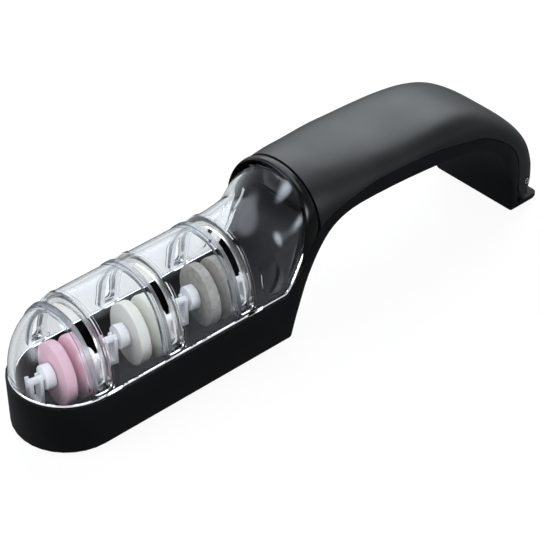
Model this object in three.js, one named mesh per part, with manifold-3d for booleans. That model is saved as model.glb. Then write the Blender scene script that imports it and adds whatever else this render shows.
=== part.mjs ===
import * as THREE from 'three';
import { mergeVertices } from 'three/addons/utils/BufferGeometryUtils.js';
import Module from 'manifold-3d';

const wasm = await Module();
wasm.setup();

// Hand knife sharpener: a water tray with three pairs of ceramic wheels under a clear lid,
// and a bridge handle behind it. The lid and the grip, all that lies above the parting line,
// open as one on a pin in the heel.
// Millimetres. x runs from the nose to the heel, y across and z up from the table.

// The whole body
const trayLength = 106; // nose to the point where the parting line starts to climb
const neckLength = 15.6; // from there to the front edge of the grip
const handleSpan = 120.5; // from there to the inner face of the grip's lower end
const footReach = 11.5; // foot plate behind that face
const rimHeight = 21.2; // top of the tray's wall
const crownHeight = 62.3; // top of the grip
const handleDepth = 17.3; // from there to the highest point under the handle
const rimHalfWidth = 21.2; // half the tray's width, and the nose's radius in plan
const heelHalfWidth = 20.6;
const seamGap = 0.3; // clearance between parts that meet
const overrun = 6; // how far a cutting shape runs past what it cuts

const mouthX = trayLength + neckLength;
const mouthHalfWidth = rimHalfWidth;
const heelX = trayLength + handleSpan;
const footEnd = heelX + footReach;
const noseX = rimHalfWidth;
const crownRise = crownHeight - rimHeight;
const archHeight = crownHeight - handleDepth;

// Frame moulding
const frameWall = 2.4;
const floorThickness = 3;
const standHeight = 0.6; // the pads lift the frame this far
const trayDraft = 0.7; // the tray narrows by this at its bottom
const bottomRadius = 1.5;
const floorCorner = 5; // rounding where the tray's floor turns up into the neck
const footThickness = 2.9;
const footCorner = 2.2;
const floorTop = standHeight + floorThickness;
const footTop = standHeight + footThickness;

// Heel hinge
const pinRadius = 1.25;
const pinBore = 0.75; // the pin is a rolled spring pin
const pinSlit = 0.35;
const pinHeight = 10.9;
const pinSetback = 5.5; // from the heel's inner face to the pin
const knuckleFront = 5.2;
const knuckleDepth = 5.6; // from the pin down to the grip's lowest point
const crownReach = 7.2; // from the pin back to the grip's outer face
const lugHalfWidth = 7;
const lugRadius = 3;
const lugClearance = 0.7;
const notchRise = 3.5; // above the pin
const pinX = heelX + pinSetback;
const rearX = pinX + crownReach;

// Grip shell
const gripWall = 2.2;
const gripRoundFront = 2.05; // power of the section's superellipse at the mouth
const gripRoundHeel = 4.3;
const gripSinkShare = 0.45; // how far below the seam the section would be widest
const gripSinkStartShare = 0.2; // reached at this share of the grip
const bossRadius = 3.2;
const screwSpacing = 11;
const screwSetback = 7.4; // behind the mouth

// Mouth collar and the bulkhead behind it
const collarLength = 3.7;
const collarWing = 4.4; // how far its lower ends sweep forward
const collarBead = 0.8; // how far the bead's edges round over
const lipLength = 1.9; // of the lip that the lid's tail lies under
const lipSide = 1.3;
const lipCrown = 1.9;
const webSide = 3.9;
const webCrown = 4.6;
const lipGap = 0.4;
const bulkheadThickness = 2;
const bulkheadReach = 1.2; // below the parting line
const bulkheadBulge = 3; // towards the lid's neck
const shelfDrop = 11.4; // shelf under the crown, for the screws
const shelfLength = 11;
const shelfHalfWidth = 9.5;

// Clear lid
const lidWall = 2;
const lidInset = 0.9; // the lid stands this far in from the rim
const neckRise = 11.5; // from the lid's crown to the grip's
const domeLength = 29.8; // rise of the nose
const domeRound = 2.2;
const lidRound = 2.22;
const neckSetback = 13; // the neck starts to climb this far before the tray's end
const lidHeight = crownHeight - neckRise;
const neckStart = trayLength - neckSetback;
const tailX = mouthX - collarLength + lipLength - 2 * seamGap;
const tailHalfWidth = mouthHalfWidth - lipSide - lipGap;
const tailHeight = crownHeight - lipCrown - lipGap;
const lidRadius = rimHalfWidth - lidInset;
const domeEnd = noseX - lidRadius + domeLength;

// Knife slots and their rails
const stageCount = 3;
const firstStageSetback = 0.4; // behind the centre of the nose
const lastStageSetback = 19.4; // before the tray's end
const slotWidth = 5;
const slotRise = 3.4; // from the rim to the slot's lower end
const railHalfWidth = 4.4;
const railProud = 0.4;
const railDepth = 1.6; // inside the lid's wall
const railRise = 1.4;
const slotCorner = 1.6; // rounding of a slot's lower end
const railCorner = 3;
const firstStageX = noseX + firstStageSetback;
const stagePitch = (trayLength - lastStageSetback - firstStageX) / (stageCount - 1);
const slotBottom = rimHeight + slotRise;
const railBottom = rimHeight + railRise;

// Thumb dimples and snap tabs on the lid
const dimpleSetback = 6.2;
const dimpleRise = 10.8;
const dimpleHalfLength = 7;
const dimpleHalfHeight = 24;
const dimpleBulge = 2.6;
const dimpleDepth = 1.7; // from the widest part of the lid
const dimpleTilt = THREE.MathUtils.degToRad(11);
const tabLength = 6.8;
const tabHeight = 1.6;
const tabProud = 0.6;
const tabOffset = 4; // behind a slot's centre
const tabStages = [0, 2];
const dimpleX = trayLength - dimpleSetback;
const dimpleZ = rimHeight + dimpleRise;

// Wheel sets. Lengths along an axle are measured from the middle of the groove.
const wheelYaw = THREE.MathUtils.degToRad(-11);
const axleRise = 0.8; // above the rim
const axleHeight = rimHeight + axleRise;
const noseRoom = 5.35; // the lid's wall and the room before the first axle
const discRadius = 11.5;
const discOuterFace = 5.9;
const discInnerFace = 0.2;
const grooveHalfWidth = 1.8;
const grooveHalfAngle = THREE.MathUtils.degToRad(16);
const discEdge = 0.6;
const coreRadius = 3;
const axleBossRadius = 4.45;
const bossEdge = 0.4;
const stubRadius = 1.35;
const hubGap = 0.3;
const bossEndShare = 0.377; // shares of the room beside a disc, which ends half a pitch away
const stubEndShare = 0.9275;
const axleRoom = Math.min(stagePitch / 2, firstStageX - noseRoom) - discOuterFace;
const bossEnd = discOuterFace + bossEndShare * axleRoom;
const stubEnd = discOuterFace + stubEndShare * axleRoom;

// Bearing cradles and the posts under them
const cradleStartShare = 0.4155;
const cradleEndShare = 0.8985;
const cradleStart = discOuterFace + cradleStartShare * axleRoom;
const cradleEnd = discOuterFace + cradleEndShare * axleRoom;
const cradleWall = 1.3;
const cradleHalfWidth = 2.3;
const cradleDrop = 9.6; // from the axle down to the cradle's foot
const cradleFoot = 1.6;
const cradleTop = 1.2; // above the axle
const cradleFootBottom = axleHeight - cradleDrop;
const notchRadius = 1.65;
const postHalfWidth = 2.6;

// Rubber pads
const padThickness = 1.2;
const padCorner = 3;
const padFit = 0.3;
const padLength = 26;
const padWidth = 24;
const frontPadSetback = 6.8; // behind the centre of the nose
const rearPadSetback = 24; // before the tray's end
const heelPadLength = 8;
const frontPad = { x: noseX + frontPadSetback, length: padLength, width: padWidth };
const rearPad = { x: trayLength - rearPadSetback, length: padLength, width: padWidth };
const heelPad = { x: heelX + footReach / 2, length: heelPadLength, width: padLength };

// Screws that hold the lid and its bulkhead to the grip
const screwRadius = 1.5;
const screwHeadRadius = 2.7;
const screwHeadHeight = 1.7;
const screwTopShare = 0.7; // of the head's radius, where its rounding starts
const screwLength = 8.2;
const screwFit = 0.3;

// How finely round stretches are divided
const archSteps = 16;
const noseSteps = 8;
const neckSteps = 10;
const cornerSteps = 4;
const curveSamples = 36;
const roundSegments = 18;
const discSegments = 28;
const smallSegments = 10;
const padSegments = 3;

// Outlines seen from the side, as shares of the handle's span and of the rise from the rim
// to the crown. The parting line runs from the rim up the neck, along the grip and down the heel.
const partingShares = [
  [0, 0], [0.022, 0.06], [0.0435, 0.151], [0.0715, 0.285], [0.1005, 0.419], [0.126, 0.521],
  [0.1775, 0.616], [0.239, 0.665], [0.359, 0.719], [0.449, 0.714], [0.552, 0.694],
  [0.6425, 0.6625], [0.742, 0.596], [0.836, 0.518], [0.938, 0.316], [0.9865, 0.117],
  [0.999, -0.066],
];
// The grip's crown, one point for each point of the parting line from the mouth on
const mouthIndex = 5;
const crownShares = [
  [0.126, 1], [0.184, 0.988], [0.248, 0.966], [0.3735, 0.932], [0.472, 0.905], [0.582, 0.8855],
  [0.6845, 0.859], [0.7875, 0.803], [0.891, 0.667], [0.998, 0.421], [1.07, 0.1655],
  [1.1025, -0.0875],
];
// The underside of the handle, as shares of the span and of the arch's height
const undersideShares = [
  [0.015, 0.03], [0.0355, 0.236], [0.068, 0.493], [0.1, 0.664], [0.132, 0.793], [0.165, 0.887],
  [0.197, 0.942], [0.237, 0.98], [0.299, 1], [0.429, 0.993], [0.565, 0.967], [0.714, 0.924],
  [0.7775, 0.884], [0.849, 0.804], [0.905, 0.693], [0.9505, 0.4955], [0.9725, 0.307],
  [0.977, 0.12], [0.98, 0.01],
];

// The rounding under the frame: inset and rise, as shares of its radius
const bottomShares = [[1, 0], [0.3, 0.3], [0, 1]];
// Stations round the grip's lower end, as shares of a quarter turn about the pin
const tipShares = [0.35, 0.65, 0.88];
const hollowTipShares = [0.45];
// Stations along the collar, as shares of its length, and how far they are rounded down
const collarShares = [[0, 1], [0.15, 0.4], [0.4, 0.05], [0.75, 0.05], [1, 0.5]];
// Rings of the bulkhead's bulge, as shares of its outline, and the share at which it starts
const bulgeShares = [0.25, 0.45, 0.62, 0.74];
const bulgeStartShare = 0.78;
const noseStartShare = 0.2; // of a step, from the lid's tip to its first station

const finish = {
  frame: { color: 0x1c1e21, roughness: 0.45, metalness: 0 },
  gloss: { color: 0x141518, roughness: 0.2, metalness: 0 },
  grip: { color: 0x4c5154, roughness: 0.75, metalness: 0 },
  clear: { color: 0xe9eef0, roughness: 0.05, metalness: 0, transparent: true, opacity: 0.35 },
  rubber: { color: 0x222222, roughness: 0.9, metalness: 0 },
  steel: { color: 0xb8babd, roughness: 0.3, metalness: 1 },
  white: { color: 0xecebee, roughness: 0.4, metalness: 0 },
  fine: { color: 0xdfa9bc, roughness: 0.6, metalness: 0 },
  medium: { color: 0xe2e1d9, roughness: 0.6, metalness: 0 },
  coarse: { color: 0x8f8a86, roughness: 0.65, metalness: 0 },
};

// Solids in and out of the boolean library

function solidFromArrays(positions, index) {
  let volume = 0;
  const corner = [new THREE.Vector3(), new THREE.Vector3(), new THREE.Vector3()];
  for (let i = 0; i < index.length; i += 3) {
    corner.forEach((c, k) => c.fromArray(positions, index[i + k] * 3));
    volume += corner[0].dot(corner[1].cross(corner[2]));
  }
  const triVerts = Uint32Array.from(index);
  if (volume < 0) triVerts.reverse();
  const vertProperties = Float32Array.from(positions);
  return new wasm.Manifold(new wasm.Mesh({ numProp: 3, vertProperties, triVerts }));
}

function solidFrom(geometry) {
  geometry.deleteAttribute('normal');
  geometry.deleteAttribute('uv');
  const merged = mergeVertices(geometry);
  return solidFromArrays(merged.attributes.position.array, merged.index.array);
}

function meshFrom(name, solid, look) {
  const { vertProperties, triVerts } = solid.getMesh();
  const geometry = new THREE.BufferGeometry();
  geometry.setAttribute('position', new THREE.BufferAttribute(vertProperties, 3));
  geometry.setIndex(new THREE.BufferAttribute(triVerts, 1));
  geometry.computeVertexNormals();
  return namedMesh(name, geometry, look);
}

function namedMesh(name, geometry, look) {
  const mesh = new THREE.Mesh(geometry, new THREE.MeshStandardMaterial(look));
  mesh.name = name;
  return mesh;
}

// Building blocks

function capTriangles(ring) {
  const normal = new THREE.Vector3();
  ring.forEach((p, i) => normal.add(p.clone().cross(ring[(i + 1) % ring.length])));
  const size = [Math.abs(normal.x), Math.abs(normal.y), Math.abs(normal.z)];
  const drop = size.indexOf(Math.max(...size));
  const flat = ring.map((p) => {
    if (drop === 0) return new THREE.Vector2(p.y, p.z);
    return drop === 1 ? new THREE.Vector2(p.z, p.x) : new THREE.Vector2(p.x, p.y);
  });
  const faces = THREE.ShapeUtils.triangulateShape(flat, []);
  return THREE.ShapeUtils.isClockWise(flat) ? faces.map(([a, b, c]) => [a, c, b]) : faces;
}

// A closed body through rings of the same number of points
function loft(rings) {
  const count = rings[0].length;
  const positions = rings.flat().flatMap((p) => p.toArray());
  const index = [];
  for (let r = 0; r + 1 < rings.length; r++) {
    for (let i = 0; i < count; i++) {
      const a = r * count + i;
      const b = r * count + ((i + 1) % count);
      index.push(a, b, b + count, a, b + count, a + count);
    }
  }
  const last = (rings.length - 1) * count;
  capTriangles(rings[0]).forEach(([a, b, c]) => index.push(a, c, b));
  capTriangles(rings[rings.length - 1]).forEach((f) => index.push(...f.map((k) => k + last)));
  return solidFromArrays(positions, index);
}

// An arch over the part from one foot to the other, where foot and crown are points
// of the side view. With a leg, its sides rise straight for that length first. With a sink, the
// section is widest that share of its rise below the foot.
function archRing(start, crown, halfWidth, power, { leg = 0, sink = 0, drop = 0 } = {}) {
  const ring = [];
  const foot = crown.clone().sub(start).setLength(leg).add(start);
  const base = sink / (1 + sink);
  const first = Math.asin(base ** (power / 2));
  const widest = halfWidth / (1 - base ** power) ** (1 / power);
  for (let i = 0; i <= archSteps; i++) {
    const angle = first + ((Math.PI - 2 * first) * i) / archSteps;
    const side = i * 2 === archSteps ? 0 : Math.cos(angle);
    const rise = i % archSteps === 0 ? base : Math.sin(angle) ** (2 / power);
    const y = widest * Math.sign(side) * Math.abs(side) ** (2 / power);
    const p = foot.clone().lerp(crown, (rise - base) / (1 - base));
    ring.push(new THREE.Vector3(p.x, y, p.y));
  }
  if (leg > 0) {
    ring.unshift(new THREE.Vector3(start.x, halfWidth, start.y));
    ring.push(new THREE.Vector3(start.x, -halfWidth, start.y));
  }
  if (drop > 0) {
    const away = start.clone().sub(crown).setLength(drop).add(start);
    ring.push(new THREE.Vector3(away.x, -halfWidth, away.y));
    ring.push(new THREE.Vector3(away.x, halfWidth, away.y));
  }
  return ring;
}

// A shape drawn in side view, extruded across the part between two y values
function sidePrism(shape, fromY, toY) {
  const geometry = new THREE.ExtrudeGeometry(shape, {
    depth: toY - fromY, bevelEnabled: false, curveSegments: smallSegments,
  });
  geometry.rotateX(Math.PI / 2).translate(0, toY, 0);
  return solidFrom(geometry);
}

function shapeFrom(points) {
  return new THREE.Shape(points);
}

function box(sizeX, sizeY, sizeZ, x, y, z) {
  return solidFrom(new THREE.BoxGeometry(sizeX, sizeY, sizeZ).translate(x, y, z));
}

function uprightCylinder(radius, fromZ, toZ, x, y) {
  const geometry = new THREE.CylinderGeometry(radius, radius, toZ - fromZ, smallSegments);
  return solidFrom(geometry.rotateX(Math.PI / 2).translate(x, y, (fromZ + toZ) / 2));
}

// Curves of the side view

const partingPoints = [
  ...partingShares.map(([x, z]) =>
    new THREE.Vector2(trayLength + x * handleSpan, rimHeight + z * crownRise)),
  new THREE.Vector2(heelX, pinHeight),
  new THREE.Vector2(heelX, footTop),
];
const parting = new THREE.SplineCurve(partingPoints);
const crown = new THREE.SplineCurve([
  ...crownShares.map(([x, z]) =>
    new THREE.Vector2(trayLength + x * handleSpan, rimHeight + z * crownRise)),
  new THREE.Vector2(pinX + crownReach, pinHeight),
]);
const underside = new THREE.SplineCurve(undersideShares.map(([x, z]) =>
  new THREE.Vector2(trayLength + x * handleSpan, z * archHeight)));

const partingSamples = parting.getPoints(curveSamples * 2);

// Height of the parting line at x, and the lift that leaves the seam's gap on its slope
function seatAt(x) {
  if (x <= trayLength) return rimHeight + seamGap;
  const next = partingSamples.findIndex((p) => p.x >= x);
  const a = partingSamples[next - 1];
  const b = partingSamples[next];
  const slope = (b.y - a.y) / (b.x - a.x);
  return a.y + slope * (x - a.x) + seamGap * Math.hypot(1, slope);
}

// Plan of the frame: half of its outline from the nose to the rear, drawn in by an inset
function planRing(inset, draft, z) {
  const half = [];
  const radius = rimHalfWidth - inset - draft;
  for (let i = 0; i <= noseSteps; i++) {
    const angle = (Math.PI / 2) * (i / noseSteps);
    half.push([noseX - radius * Math.cos(angle), radius * Math.sin(angle)]);
  }
  half.push([trayLength, radius]);
  half.push([mouthX, mouthHalfWidth - inset - draft / 2]);
  const corner = footCorner - inset / 2;
  const end = footEnd - inset;
  const width = heelHalfWidth - inset;
  for (let i = 0; i <= cornerSteps; i++) {
    const angle = (Math.PI / 2) * (i / cornerSteps);
    half.push([end - corner + corner * Math.sin(angle), width - corner + corner * Math.cos(angle)]);
  }
  const mirrored = half.slice(1).reverse().map(([x, y]) => [x, -y]);
  return [...half, ...mirrored].map(([x, y]) => new THREE.Vector3(x, y, z));
}

// Frame: tray, neck, lower half of the handle and foot in one moulding

function frameProfile() {
  const under = underside.getPoints(curveSamples);
  const edge = [...partingSamples].reverse();
  return shapeFrom([
    new THREE.Vector2(-overrun, -overrun),
    new THREE.Vector2(under[0].x - bottomRadius / 2, -overrun),
    new THREE.Vector2(under[0].x - bottomRadius / 2, standHeight),
    ...under.filter((p) => p.y > standHeight),
    new THREE.Vector2(under[under.length - 1].x, -overrun),
    new THREE.Vector2(rearX + overrun, -overrun),
    new THREE.Vector2(rearX + overrun, footTop),
    ...edge,
    new THREE.Vector2(-overrun, rimHeight),
  ]);
}

function hollowProfile() {
  const count = curveSamples;
  const inside = [];
  for (let i = 0; i <= count; i++) {
    const p = underside.getPoint(i / count);
    const t = underside.getTangent(i / count);
    inside.push(new THREE.Vector2(p.x - t.y * frameWall, p.y + t.x * frameWall));
  }
  const first = inside.findIndex((p) => p.y > floorTop + floorCorner);
  const wall = inside.slice(first).filter((p) => p.x < trayLength + handleSpan / 2
    || p.y > footTop + seamGap);
  const shape = new THREE.Shape();
  shape.moveTo(-overrun, floorTop);
  shape.lineTo(wall[0].x - floorCorner, floorTop);
  shape.quadraticCurveTo(wall[0].x - seamGap, floorTop, wall[0].x, wall[0].y);
  wall.slice(1).forEach((p) => shape.lineTo(p.x, p.y));
  const end = wall[wall.length - 1];
  shape.lineTo(rearX + overrun, end.y);
  shape.lineTo(rearX + overrun, crownHeight + overrun);
  shape.lineTo(-overrun, crownHeight + overrun);
  return shape;
}

function heelLug() {
  const shape = new THREE.Shape();
  shape.moveTo(heelX - frameWall / 2, standHeight + seamGap);
  shape.lineTo(pinX + lugRadius, standHeight + seamGap);
  shape.lineTo(pinX + lugRadius, pinHeight);
  shape.absarc(pinX, pinHeight, lugRadius, 0, Math.PI / 2, false);
  shape.lineTo(heelX - frameWall / 2, pinHeight + lugRadius / 2);
  return sidePrism(shape, -lugHalfWidth, lugHalfWidth);
}

function wheelPosts() {
  const middle = (cradleStart + cradleEnd) / 2;
  const top = cradleFootBottom - seamGap;
  const bottom = floorTop - seamGap;
  const posts = [];
  for (let stage = 0; stage < stageCount; stage++) {
    for (const side of [-1, 1]) {
      const geometry = new THREE.BoxGeometry(cradleEnd - cradleStart, 2 * postHalfWidth, top - bottom)
        .translate(side * middle, 0, (top + bottom) / 2)
        .rotateZ(wheelYaw)
        .translate(stageX(stage), 0, 0);
      posts.push(solidFrom(geometry));
    }
  }
  return posts;
}

function stageX(stage) {
  return firstStageX + stage * stagePitch;
}

function padShape({ x, length, width }, grow) {
  const halfX = length / 2 + grow;
  const halfY = width / 2 + grow;
  const r = padCorner + grow;
  const shape = new THREE.Shape();
  shape.absarc(x + halfX - r, halfY - r, r, 0, Math.PI / 2, false);
  shape.absarc(x - halfX + r, halfY - r, r, Math.PI / 2, Math.PI, false);
  shape.absarc(x - halfX + r, -halfY + r, r, Math.PI, Math.PI * 1.5, false);
  shape.absarc(x + halfX - r, -halfY + r, r, Math.PI * 1.5, Math.PI * 2, false);
  return shape;
}

function padBody(pad, grow, fromZ, toZ) {
  const geometry = new THREE.ExtrudeGeometry(padShape(pad, grow), {
    depth: toZ - fromZ, bevelEnabled: false, curveSegments: padSegments,
  });
  return geometry.translate(0, 0, fromZ);
}

function baseFrame() {
  const levels = bottomShares.map(([inset, rise]) =>
    [inset * bottomRadius, standHeight + rise * bottomRadius]);
  levels.push([0, rimHeight], [0, crownHeight]);
  const outer = loft(levels.map(([inset, z]) => {
    const below = Math.max(0, (rimHeight - z) / (rimHeight - standHeight));
    return planRing(inset, trayDraft * below, z);
  }));
  const inner = loft([
    planRing(frameWall, 0, floorTop - overrun),
    planRing(frameWall, 0, crownHeight + overrun),
  ]);
  let frame = outer.intersect(sidePrism(frameProfile(), -rimHalfWidth - overrun, rimHalfWidth + overrun));
  frame = frame.subtract(inner.intersect(sidePrism(hollowProfile(), -rimHalfWidth, rimHalfWidth)));
  wheelPosts().forEach((post) => { frame = frame.add(post); });
  frame = frame.subtract(knuckleRoom()).add(heelLug());
  frame = frame.subtract(pinHole());
  for (const pad of [frontPad, rearPad, heelPad]) {
    frame = frame.subtract(solidFrom(padBody(pad, padFit, -overrun, padThickness + padFit)));
  }
  return frame;
}

function pinHole() {
  const geometry = new THREE.CylinderGeometry(
    pinRadius + seamGap, pinRadius + seamGap, 2 * (heelHalfWidth + overrun), smallSegments);
  return solidFrom(geometry.translate(pinX, 0, pinHeight));
}

// Room for the grip's lower end to swing round the pin
function knuckleRoom() {
  const radius = knuckleDepth + seamGap;
  const reach = 2 * (heelHalfWidth + overrun);
  const geometry = new THREE.CylinderGeometry(radius, radius, reach, discSegments);
  return solidFrom(geometry.translate(pinX, 0, pinHeight));
}

// Rolled spring pin: an open ring, extruded across the heel
function heelPin() {
  const gapAngle = pinSlit / pinRadius;
  const shape = new THREE.Shape();
  shape.absarc(pinX, pinHeight, pinRadius, gapAngle, Math.PI * 2 - gapAngle, false);
  shape.absarc(pinX, pinHeight, pinBore, Math.PI * 2 - gapAngle, gapAngle, true);
  const reach = heelHalfWidth - seamGap;
  return sidePrism(shape, -reach, reach);
}

// Grip shell

function gripStations() {
  const stations = [];
  const lastIndex = partingPoints.length - 2;
  const steps = lastIndex - mouthIndex + archSteps / 2;
  for (let i = 0; i <= steps; i++) {
    const share = i / steps;
    const along = mouthIndex + share * (lastIndex - mouthIndex);
    const foot = parting.getPoint(along / (partingPoints.length - 1));
    const top = crown.getPoint(share);
    stations.push({ foot, top, share });
  }
  return stations;
}

function gripHalfWidth(share) {
  return THREE.MathUtils.lerp(mouthHalfWidth, heelHalfWidth, share);
}

function gripPower(share) {
  return THREE.MathUtils.lerp(gripRoundFront, gripRoundHeel, share);
}

function gripSink(share) {
  return gripSinkShare * Math.min(1, share / gripSinkStartShare);
}

function gripBody(wall, drop) {
  const rings = gripStations().map(({ foot, top, share }) => {
    const along = top.clone().sub(foot).normalize();
    const seat = foot.clone().addScaledVector(along, drop > 0 ? 0 : seamGap);
    const peak = top.clone().addScaledVector(along, -wall);
    const shape = { sink: gripSink(share), drop };
    return archRing(seat, peak, gripHalfWidth(share) - wall, gripPower(share), shape);
  });
  for (const share of drop > 0 ? hollowTipShares : tipShares) {
    const angle = (Math.PI / 2) * share;
    const z = pinHeight - knuckleDepth * Math.sin(angle);
    const foot = new THREE.Vector2(pinX - knuckleFront * Math.cos(angle), z);
    const top = new THREE.Vector2(pinX + crownReach * Math.cos(angle) - wall, z);
    const shape = { sink: gripSinkShare, drop };
    rings.push(archRing(foot, top, heelHalfWidth - wall, gripRoundHeel, shape));
  }
  return loft(rings);
}

function gripShell() {
  const front = box(2 * overrun, 4 * rimHalfWidth, 2 * crownHeight, mouthX - overrun, 0, crownHeight);
  let shell = gripBody(0, 0).subtract(gripBody(gripWall, overrun)).subtract(front);
  const shelfTop = crownHeight - shelfDrop + bulkheadThickness;
  for (const side of [-1, 1]) {
    const x = mouthX + screwSetback;
    const y = (side * screwSpacing) / 2;
    const boss = uprightCylinder(bossRadius, shelfTop + seamGap, crownHeight - gripWall / 2, x, y);
    shell = shell.add(boss.intersect(gripBody(gripWall / 2, 0)));
    const depth = crownHeight - gripWall - seamGap;
    shell = shell.subtract(uprightCylinder(screwRadius + screwFit, shelfTop, depth, x, y));
  }
  const notch = 2 * (lugHalfWidth + lugClearance);
  const notchTop = pinHeight + notchRise;
  shell = shell.subtract(box(4 * overrun, notch, notchTop * 2, pinX + overrun, 0, 0));
  return shell.subtract(pinHole());
}

// Mouth collar: a rounded bead that carries the lid's tail, with a web behind the tail

// Its sides stand straight up to the height at which the grip's own arch starts
function legAt(x) {
  return Math.max(seatAt(mouthX) - seatAt(x), 0) + seamGap;
}

function mouthRing(x, side, top, drop = 0) {
  const foot = new THREE.Vector2(x, seatAt(x));
  const peak = new THREE.Vector2(x, crownHeight - top);
  const shape = { leg: legAt(x), drop };
  return archRing(foot, peak, mouthHalfWidth - side, gripRoundFront, shape);
}

function mouthCollar() {
  const front = mouthX - seamGap - collarLength;
  const start = front - collarWing;
  const rings = collarShares.map(([share, round]) =>
    mouthRing(front + share * collarLength, round * collarBead, round * collarBead));
  const outer = loft([mouthRing(start, collarBead, collarBead), ...rings]);
  const lip = loft([start - seamGap, front + lipLength].map((x) =>
    mouthRing(x, lipSide, lipCrown, overrun)));
  const web = loft([start - seamGap, mouthX].map((x) =>
    mouthRing(x, webSide, webCrown, overrun)));
  return outer.subtract(lip).subtract(web).subtract(wingCutter(front));
}

// What lies before the collar's front edge, which leans forward towards the parting line
function wingCutter(front) {
  const ahead = front - collarWing - overrun;
  const foot = seatAt(front - collarWing);
  const top = crownHeight + overrun;
  const shape = new THREE.Shape();
  shape.moveTo(ahead, foot - overrun);
  shape.lineTo(front - collarWing, foot - overrun);
  shape.lineTo(front - collarWing, foot);
  shape.quadraticCurveTo(front - collarWing / 3, (foot + crownHeight) / 2, front, crownHeight);
  shape.lineTo(front, top);
  shape.lineTo(ahead, top);
  return sidePrism(shape, -rimHalfWidth - overrun, rimHalfWidth + overrun);
}

function mouthBulkhead() {
  const front = mouthX + seamGap;
  const back = front + bulkheadThickness;
  const bottom = seatAt(back) - bulkheadReach;
  const top = crownHeight - gripWall - 2 * seamGap;
  const halfWidth = mouthHalfWidth - frameWall - 2 * seamGap;
  const [rim, rear] = [front, back].map((x) =>
    archRing(new THREE.Vector2(x, bottom), new THREE.Vector2(x, top), halfWidth, gripRoundFront));
  const centre = new THREE.Vector3(front, 0, (bottom + top) / 2);
  const bulge = bulgeShares.map((share) => rim.map((p) => {
    const point = p.clone().sub(centre).multiplyScalar(share).add(centre);
    return point.setX(front - bulkheadBulge * (1 - (share / bulgeStartShare) ** 2));
  }));
  let bulkhead = loft([...bulge, rim, rear]);
  const shelfZ = crownHeight - shelfDrop + bulkheadThickness / 2;
  bulkhead = bulkhead.add(box(shelfLength, 2 * shelfHalfWidth, bulkheadThickness,
    mouthX + bulkheadThickness / 2 + shelfLength / 2, 0, shelfZ));
  for (const end of [-1, 1]) {
    bulkhead = bulkhead.subtract(uprightCylinder(screwRadius + screwFit, shelfZ - overrun,
      shelfZ + overrun, mouthX + screwSetback, (end * screwSpacing) / 2));
  }
  const room = sidePrism(hollowProfile(), -rimHalfWidth, rimHalfWidth);
  return bulkhead.intersect(room.translate([0, 0, 2 * seamGap]));
}

function coverScrew() {
  const shelfBottom = crownHeight - shelfDrop;
  const head = shelfBottom - seamGap;
  const slotDepth = screwHeadHeight / 2;
  const profile = [
    [0, head - screwHeadHeight], [screwHeadRadius * screwTopShare, head - screwHeadHeight],
    [screwHeadRadius, head - slotDepth], [screwHeadRadius, head], [screwRadius, head],
    [screwRadius, head + screwLength - screwRadius], [0, head + screwLength],
  ].map(([r, z]) => new THREE.Vector2(r, z));
  const body = solidFrom(new THREE.LatheGeometry(profile, smallSegments).rotateX(Math.PI / 2));
  const arm = screwRadius / 2;
  const z = head - screwHeadHeight;
  const crossA = box(2 * screwRadius, arm, slotDepth * 2, 0, 0, z);
  const crossB = box(arm, 2 * screwRadius, slotDepth * 2, 0, 0, z);
  return body.subtract(crossA).subtract(crossB);
}

// Clear lid

function lidSection(x, grow) {
  const radius = lidRadius + grow;
  const ahead = Math.max(0, noseX - x);
  const neck = THREE.MathUtils.smoothstep(x, trayLength, tailX);
  const place = Math.min(x, tailX);
  const along = Math.max(0, (place - trayLength) / (tailX - trayLength));
  const leg = seamGap + legAt(place) * along;
  const power = THREE.MathUtils.lerp(lidRound, gripRoundFront, neck);
  const halfWidth = Math.sqrt(Math.max(0, radius ** 2 - ahead ** 2))
    - (lidRadius - tailHalfWidth) * neck;
  const climb = Math.max(0, (place - neckStart) / (tailX - neckStart));
  const foot = seatAt(place);
  const full = lidHeight + (tailHeight - lidHeight) * climb ** 2 + grow - foot;
  const behind = Math.max(0, (domeEnd - x) / (domeLength + grow));
  const rise = full * Math.max(0, 1 - behind ** domeRound) ** (1 / domeRound);
  const top = new THREE.Vector2(x, foot + rise);
  return { foot: new THREE.Vector2(x, foot), top, halfWidth, power, leg };
}

function lidRing(x, grow, drop) {
  const { foot, top, halfWidth, power, leg } = lidSection(x, grow);
  return archRing(foot, top, halfWidth, power, { leg, drop });
}

function lidBody(grow, drop) {
  const tip = noseX - lidRadius - grow;
  const reach = noseX - tip;
  const places = [];
  for (let i = 1; i <= noseSteps; i++) {
    const share = (i + noseStartShare) / (noseSteps + noseStartShare);
    places.push(tip + reach * (1 - Math.cos((Math.PI / 2) * share)));
  }
  places.push((noseX + domeEnd) / 2, domeEnd, (domeEnd + neckStart) / 2, neckStart);
  for (let i = 1; i <= neckSteps; i++) {
    places.push(neckStart + ((tailX - neckStart) * i) / neckSteps);
  }
  if (drop > 0) places.push(tailX + overrun);
  return loft(places.map((x) => lidRing(x, grow, drop)));
}

// The U-shaped outline of a slot or its rail, extruded across the lid
function slotPrism(x, halfWidth, bottom, corner) {
  const shape = new THREE.Shape();
  const top = crownHeight + overrun;
  const side = halfWidth - corner;
  shape.moveTo(x + halfWidth, top);
  shape.lineTo(x - halfWidth, top);
  shape.absarc(x - side, bottom + corner, corner, Math.PI, Math.PI * 1.5, false);
  shape.absarc(x + side, bottom + corner, corner, Math.PI * 1.5, Math.PI * 2, false);
  return sidePrism(shape, -rimHalfWidth - overrun, rimHalfWidth + overrun);
}

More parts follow.
